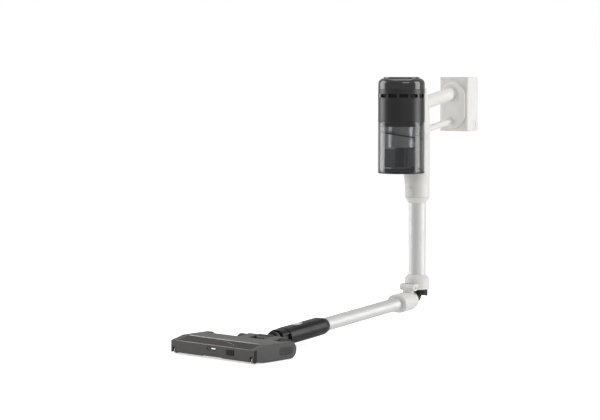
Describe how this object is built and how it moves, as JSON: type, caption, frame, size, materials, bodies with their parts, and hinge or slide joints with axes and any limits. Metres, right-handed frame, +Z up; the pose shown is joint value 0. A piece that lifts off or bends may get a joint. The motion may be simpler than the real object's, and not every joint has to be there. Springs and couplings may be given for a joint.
{
  "type": "cordless stick vacuum",
  "caption": "Upright battery vacuum: canister with clear dust cup at the top of a folding wand, sloping grip with battery pack behind it, wide powered floor head with roller brush.",
  "frame": {"origin": "middle of the hand grip tube, on its centre line", "axes": "+Z up with the vacuum standing on its head, -Y towards the floor head's front edge, +X towards the right side of someone looking along +Y at its front"},
  "size_m": [0.246, 0.8694, 0.588],
  "materials": {
    "cap_gloss": "polished",
    "housing_satin": "satin",
    "white_plastic": "semi-gloss",
    "button_grey": "satin",
    "button_white": "semi-gloss",
    "tube_silver": "brushed",
    "cup_smoke": "clear smoked",
    "cup_trim": "satin",
    "shroud_metal": "perforated",
    "filter_fabric": "pleated",
    "seal_rubber": "matt",
    "motor_metal": "machined",
    "cell_wrap": "wrapped",
    "board_green": "coated",
    "lens_clear": "clear",
    "steel_parts": "polished",
    "swivel_grey": "satin",
    "head_plastic": "satin",
    "window_smoke": "polished",
    "brush_core": "satin",
    "bristle_nylon": "tufted",
    "wheel_rubber": "matt"
  },
  "bodies": {
    "main_unit": {"top_cap": "cap_gloss", "vent_ring": "housing_satin", "motor_housing": "housing_satin", "exhaust_filter": "filter_fabric", "motor": "motor_metal", "pre_filter": "filter_fabric", "main_spine": "white_plastic", "socket_collar": "white_plastic", "grip_tube": "white_plastic", "brace_tube": "white_plastic", "handle_boss": "white_plastic", "battery_front": "white_plastic", "battery_case": "white_plastic", "battery_cells": "cell_wrap", "control_board": "board_green", "status_lenses": "lens_clear", "charge_jack": "steel_parts", "case_screws": "steel_parts", "upper_tube": "tube_silver", "fold_collar_upper": "white_plastic", "fold_catch": "button_grey", "fold_pin": "steel_parts", "fold_hose": "seal_rubber"},
    "impeller": {"impeller": "motor_metal"},
    "wand_button": {"wand_button": "white_plastic"},
    "cup_button": {"cup_button": "white_plastic"},
    "power_button": {"power_button": "white_plastic"},
    "battery_latch_left": {"battery_latch_left": "white_plastic"},
    "battery_latch_right": {"battery_latch_right": "white_plastic"},
    "fold_release": {"fold_release": "button_white"},
    "dust_cup": {"dust_cup": "cup_smoke", "cup_base_ring": "cup_trim", "cup_seal": "seal_rubber", "cyclone_shroud": "shroud_metal", "cyclone_stem": "cup_trim", "inlet_ramp": "cup_trim"},
    "cup_lid": {"cup_lid": "cup_trim"},
    "lid_latch": {"lid_latch": "button_grey"},
    "lower_wand": {"fold_collar_lower": "white_plastic", "lower_tube": "tube_silver", "neck_socket": "housing_satin", "neck_body": "housing_satin"},
    "neck_button": {"neck_button": "button_white"},
    "swivel": {"swivel_barrel": "swivel_grey", "neck_yoke": "swivel_grey"},
    "head": {"pitch_pin": "steel_parts", "head_body": "head_plastic", "head_window": "window_smoke", "sole_plate": "head_plastic", "end_caps": "head_plastic", "corner_bumpers": "seal_rubber", "brush_motor": "motor_metal", "drive_belt": "seal_rubber"},
    "brush": {"brush_roll": "brush_core", "brush_bristles": "bristle_nylon"},
    "motor_pulley": {"motor_pulley": "motor_metal"},
    "front_roller_left": {"front_roller_left": "wheel_rubber"},
    "front_roller_right": {"front_roller_right": "wheel_rubber"},
    "rear_wheel_left": {"rear_wheel_left": "wheel_rubber"},
    "rear_wheel_right": {"rear_wheel_right": "wheel_rubber"},
    "window_latch": {"window_latch": "button_grey"}
  },
  "joints": [
    {"name": "impeller_spin", "type": "hinge", "parent": "main_unit", "child": "impeller", "pos_m": [0, -0.14475, -0.02276], "axis": [0, 0, 1], "continuous": true},
    {"name": "wand_button_press", "type": "slide", "parent": "main_unit", "child": "wand_button", "axis": [0, 1, 0], "range_m": [0, 0.0025], "stiffness_N_per_m": 400},
    {"name": "cup_button_press", "type": "slide", "parent": "main_unit", "child": "cup_button", "axis": [-1, 0, 0], "range_m": [0, 0.002], "stiffness_N_per_m": 400},
    {"name": "power_button_press", "type": "slide", "parent": "main_unit", "child": "power_button", "axis": [0, 0, -1], "range_m": [0, 0.0015], "stiffness_N_per_m": 400},
    {"name": "battery_latch_left_press", "type": "slide", "parent": "main_unit", "child": "battery_latch_left", "axis": [1, 0, 0], "range_m": [0, 0.003], "stiffness_N_per_m": 400},
    {"name": "battery_latch_right_press", "type": "slide", "parent": "main_unit", "child": "battery_latch_right", "axis": [-1, 0, 0], "range_m": [0, 0.003], "stiffness_N_per_m": 400},
    {"name": "fold_release_press", "type": "slide", "parent": "main_unit", "child": "fold_release", "axis": [0, -1, 0], "range_m": [0, 0.002], "stiffness_N_per_m": 400},
    {"name": "cup_removal", "type": "slide", "parent": "main_unit", "child": "dust_cup", "axis": [0, -1, 0], "range_m": [0, 0.06]},
    {"name": "lid_swing", "type": "hinge", "parent": "dust_cup", "child": "cup_lid", "pos_m": [0, -0.12295, -0.17275], "axis": [1, 0, 0], "range_deg": [0, 90]},
    {"name": "lid_latch_press", "type": "slide", "parent": "cup_lid", "child": "lid_latch", "axis": [0, 1, 0], "range_m": [0, 0.003], "stiffness_N_per_m": 300},
    {"name": "wand_fold", "type": "hinge", "parent": "main_unit", "child": "lower_wand", "pos_m": [0, -0.11575, -0.44326], "axis": [1, 0, 0], "range_deg": [-5, 84.7], "deforming": ["fold_hose"]},
    {"name": "neck_button_press", "type": "slide", "parent": "lower_wand", "child": "neck_button", "axis": [0, 0.0914, -0.9958], "range_m": [0, 0.002], "stiffness_N_per_m": 400},
    {"name": "neck_swivel", "type": "hinge", "parent": "lower_wand", "child": "swivel", "pos_m": [0, -0.60481, -0.51975], "axis": [0, 0.9958, 0.0914], "range_deg": [-60, 60]},
    {"name": "head_pitch", "type": "hinge", "parent": "swivel", "child": "head", "pos_m": [0, -0.60481, -0.51975], "axis": [1, 0, 0], "range_deg": [-80, 5]},
    {"name": "brush_spin", "type": "hinge", "parent": "head", "child": "brush", "pos_m": [0, -0.74411, -0.52375], "axis": [1, 0, 0], "continuous": true},
    {"name": "motor_pulley_spin", "type": "hinge", "parent": "head", "child": "motor_pulley", "pos_m": [0, -0.69911, -0.52026], "axis": [1, 0, 0], "continuous": true},
    {"name": "front_roller_left_spin", "type": "hinge", "parent": "head", "child": "front_roller_left", "pos_m": [-0.1135, -0.76411, -0.53205], "axis": [1, 0, 0], "continuous": true},
    {"name": "rear_wheel_left_spin", "type": "hinge", "parent": "head", "child": "rear_wheel_left", "pos_m": [-0.062, -0.61181, -0.52326], "axis": [1, 0, 0], "continuous": true},
    {"name": "front_roller_right_spin", "type": "hinge", "parent": "head", "child": "front_roller_right", "pos_m": [0.1135, -0.76411, -0.53205], "axis": [1, 0, 0], "continuous": true},
    {"name": "rear_wheel_right_spin", "type": "hinge", "parent": "head", "child": "rear_wheel_right", "pos_m": [0.062, -0.61181, -0.52326], "axis": [1, 0, 0], "continuous": true},
    {"name": "window_latch_slide", "type": "slide", "parent": "head", "child": "window_latch", "axis": [1, 0, 0], "range_m": [0, 0.003], "stiffness_N_per_m": 200}
  ],
  "couplings": [
    {"joint": "motor_pulley_spin", "follows": "brush_spin", "ratio": 2}
  ]
}
